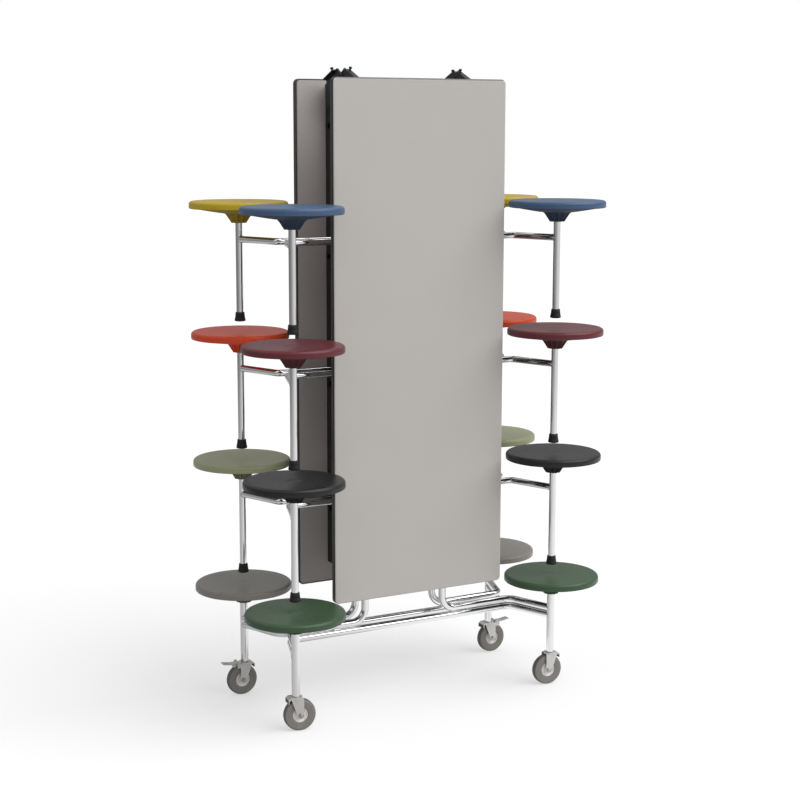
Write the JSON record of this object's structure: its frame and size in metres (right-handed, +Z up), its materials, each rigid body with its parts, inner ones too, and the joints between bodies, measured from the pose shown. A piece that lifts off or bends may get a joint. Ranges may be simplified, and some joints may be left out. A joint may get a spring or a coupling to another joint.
{
  "type": "folding canteen table with seats",
  "caption": "Mobile folding canteen table with attached round stools, folded upright on casters; it opens flat into a long table.",
  "frame": {"origin": "on the floor, midway between the four caster legs, table folded", "axes": "+X along the width of the table top, +Y from the front half to the rear half, +Z up"},
  "size_m": [1.229, 0.691, 1.9922],
  "materials": {
    "laminate": "satin light warm grey laminate on a wood board",
    "edge_rubber": "matt black moulded edge",
    "black_steel": "black powder coat",
    "zinc": "zinc plated bolts, pins and link bars",
    "chrome_tube": "bright chrome plate",
    "fork_steel": "zinc plated pressed steel",
    "pedal_steel": "zinc plated pressed steel",
    "grey_tyre": "grey thermoplastic rubber",
    "hub_plastic": "light grey plastic",
    "foot_rubber": "matt black rubber",
    "seat_green": "fine satin grain",
    "seat_charcoal": "fine satin grain",
    "seat_maroon": "fine satin grain",
    "seat_blue": "fine satin grain",
    "seat_taupe": "fine satin grain",
    "seat_olive": "fine satin grain",
    "seat_orange": "fine satin grain",
    "seat_mustard": "fine satin grain"
  },
  "bodies": {
    "front_caster_frame": {"front_frame_1": "chrome_tube", "front_left_seat_1": "seat_green", "front_right_seat_1": "seat_green"},
    "front_half": {"front_tabletop": "laminate", "front_edge_band": "edge_rubber", "front_rails": "black_steel", "front_hinge_plates": "black_steel", "hinge_pins": "zinc", "front_stop_bolts": "zinc", "front_pivot_bolts": "zinc"},
    "rear_half": {"rear_tabletop": "laminate", "rear_edge_band": "edge_rubber", "rear_rails": "black_steel", "rear_hinge_plates": "black_steel", "rear_stop_bolts": "zinc", "rear_pivot_bolts": "zinc"},
    "front_links": {"front_link_bars": "zinc"},
    "rear_links": {"rear_link_bars": "zinc"},
    "rear_caster_frame": {"rear_frame_1": "chrome_tube", "rear_left_seat_1": "seat_taupe", "rear_right_seat_1": "seat_taupe"},
    "front_stools_2": {"front_frame_2": "chrome_tube", "front_left_seat_2": "seat_charcoal", "front_right_seat_2": "seat_charcoal", "front_feet_2": "foot_rubber"},
    "front_stools_3": {"front_frame_3": "chrome_tube", "front_left_seat_3": "seat_maroon", "front_right_seat_3": "seat_maroon", "front_feet_3": "foot_rubber"},
    "front_stools_4": {"front_frame_4": "chrome_tube", "front_left_seat_4": "seat_blue", "front_right_seat_4": "seat_blue", "front_feet_4": "foot_rubber"},
    "rear_stools_2": {"rear_frame_2": "chrome_tube", "rear_left_seat_2": "seat_olive", "rear_right_seat_2": "seat_olive", "rear_feet_2": "foot_rubber"},
    "rear_stools_3": {"rear_frame_3": "chrome_tube", "rear_left_seat_3": "seat_orange", "rear_right_seat_3": "seat_orange", "rear_feet_3": "foot_rubber"},
    "rear_stools_4": {"rear_frame_4": "chrome_tube", "rear_left_seat_4": "seat_mustard", "rear_right_seat_4": "seat_mustard", "rear_feet_4": "foot_rubber"},
    "front_left_caster": {"front_left_fork": "fork_steel"},
    "front_left_wheel": {"front_left_tyre": "grey_tyre", "front_left_hub": "hub_plastic"},
    "front_right_caster": {"front_right_fork": "fork_steel"},
    "front_right_wheel": {"front_right_tyre": "grey_tyre", "front_right_hub": "hub_plastic"},
    "rear_left_caster": {"rear_left_fork": "fork_steel"},
    "rear_left_wheel": {"rear_left_tyre": "grey_tyre", "rear_left_hub": "hub_plastic"},
    "rear_left_brake": {"rear_left_brake_pedal": "pedal_steel"},
    "rear_right_caster": {"rear_right_fork": "fork_steel"},
    "rear_right_wheel": {"rear_right_tyre": "grey_tyre", "rear_right_hub": "hub_plastic"},
    "rear_right_brake": {"rear_right_brake_pedal": "pedal_steel"}
  },
  "joints": [
    {"name": "fold", "type": "hinge", "parent": "front_caster_frame", "child": "front_half", "pos_m": [0, -0.098, 0.604], "axis": [-1, 0, 0], "range_deg": [0, 90]},
    {"name": "centre_hinge", "type": "hinge", "parent": "front_half", "child": "rear_half", "pos_m": [0, 0, 1.959], "axis": [1, 0, 0], "range_deg": [0, 180]},
    {"name": "front_stools_2_pivot", "type": "hinge", "parent": "front_half", "child": "front_stools_2", "pos_m": [0, -0.098, 1.008], "axis": [-1, 0, 0], "range_deg": [-90, 0]},
    {"name": "front_stools_3_pivot", "type": "hinge", "parent": "front_half", "child": "front_stools_3", "pos_m": [0, -0.098, 1.412], "axis": [-1, 0, 0], "range_deg": [-90, 0]},
    {"name": "front_stools_4_pivot", "type": "hinge", "parent": "front_half", "child": "front_stools_4", "pos_m": [0, -0.098, 1.816], "axis": [-1, 0, 0], "range_deg": [-90, 0]},
    {"name": "rear_caster_frame_pivot", "type": "hinge", "parent": "rear_half", "child": "rear_caster_frame", "pos_m": [0, 0.098, 0.604], "axis": [-1, 0, 0], "range_deg": [0, 90]},
    {"name": "rear_stools_2_pivot", "type": "hinge", "parent": "rear_half", "child": "rear_stools_2", "pos_m": [0, 0.098, 1.008], "axis": [-1, 0, 0], "range_deg": [0, 90]},
    {"name": "rear_stools_3_pivot", "type": "hinge", "parent": "rear_half", "child": "rear_stools_3", "pos_m": [0, 0.098, 1.412], "axis": [-1, 0, 0], "range_deg": [0, 90]},
    {"name": "rear_stools_4_pivot", "type": "hinge", "parent": "rear_half", "child": "rear_stools_4", "pos_m": [0, 0.098, 1.816], "axis": [-1, 0, 0], "range_deg": [0, 90]},
    {"name": "front_links_pivot", "type": "hinge", "parent": "front_caster_frame", "child": "front_links", "pos_m": [0, -0.065, 0.544], "axis": [-1, 0, 0], "range_deg": [0, 90]},
    {"name": "rear_links_pivot", "type": "hinge", "parent": "rear_caster_frame", "child": "rear_links", "pos_m": [0, 0.065, 0.544], "axis": [1, 0, 0], "range_deg": [0, 90]},
    {"name": "front_left_swivel", "type": "hinge", "parent": "front_caster_frame", "child": "front_left_caster", "pos_m": [-0.462, -0.193, 0.107], "axis": [0, 0, 1], "continuous": true},
    {"name": "front_left_wheel_spin", "type": "hinge", "parent": "front_left_caster", "child": "front_left_wheel", "pos_m": [-0.45111, -0.19453, 0.05], "axis": [0.1392, 0.9903, 0], "continuous": true},
    {"name": "front_right_swivel", "type": "hinge", "parent": "front_caster_frame", "child": "front_right_caster", "pos_m": [0.462, -0.193, 0.107], "axis": [0, 0, 1], "continuous": true},
    {"name": "front_right_wheel_spin", "type": "hinge", "parent": "front_right_caster", "child": "front_right_wheel", "pos_m": [0.45104, -0.19204, 0.05], "axis": [-0.0872, -0.9962, 0], "continuous": true},
    {"name": "rear_left_swivel", "type": "hinge", "parent": "rear_caster_frame", "child": "rear_left_caster", "pos_m": [-0.462, 0.193, 0.107], "axis": [0, 0, 1], "continuous": true},
    {"name": "rear_left_wheel_spin", "type": "hinge", "parent": "rear_left_caster", "child": "rear_left_wheel", "pos_m": [-0.473, 0.193, 0.05], "axis": [0, -1, 0], "continuous": true},
    {"name": "rear_left_brake_press", "type": "hinge", "parent": "rear_left_caster", "child": "rear_left_brake", "pos_m": [-0.488, 0.193, 0.106], "axis": [0, -1, 0], "range_deg": [0, 5]},
    {"name": "rear_right_swivel", "type": "hinge", "parent": "rear_caster_frame", "child": "rear_right_caster", "pos_m": [0.462, 0.193, 0.107], "axis": [0, 0, 1], "continuous": true},
    {"name": "rear_right_wheel_spin", "type": "hinge", "parent": "rear_right_caster", "child": "rear_right_wheel", "pos_m": [0.473, 0.193, 0.05], "axis": [0, 1, 0], "continuous": true},
    {"name": "rear_right_brake_press", "type": "hinge", "parent": "rear_right_caster", "child": "rear_right_brake", "pos_m": [0.488, 0.193, 0.106], "axis": [0, 1, 0], "range_deg": [0, 5]}
  ],
  "couplings": [
    {"joint": "centre_hinge", "follows": "fold", "ratio": 2},
    {"joint": "front_stools_2_pivot", "follows": "fold", "ratio": -1},
    {"joint": "front_stools_3_pivot", "follows": "fold", "ratio": -1},
    {"joint": "front_stools_4_pivot", "follows": "fold", "ratio": -1},
    {"joint": "rear_caster_frame_pivot", "follows": "fold", "ratio": 1},
    {"joint": "rear_stools_2_pivot", "follows": "fold", "ratio": 1},
    {"joint": "rear_stools_3_pivot", "follows": "fold", "ratio": 1},
    {"joint": "rear_stools_4_pivot", "follows": "fold", "ratio": 1},
    {"joint": "front_links_pivot", "follows": "fold", "ratio": 1},
    {"joint": "rear_links_pivot", "follows": "fold", "ratio": 1}
  ]
}
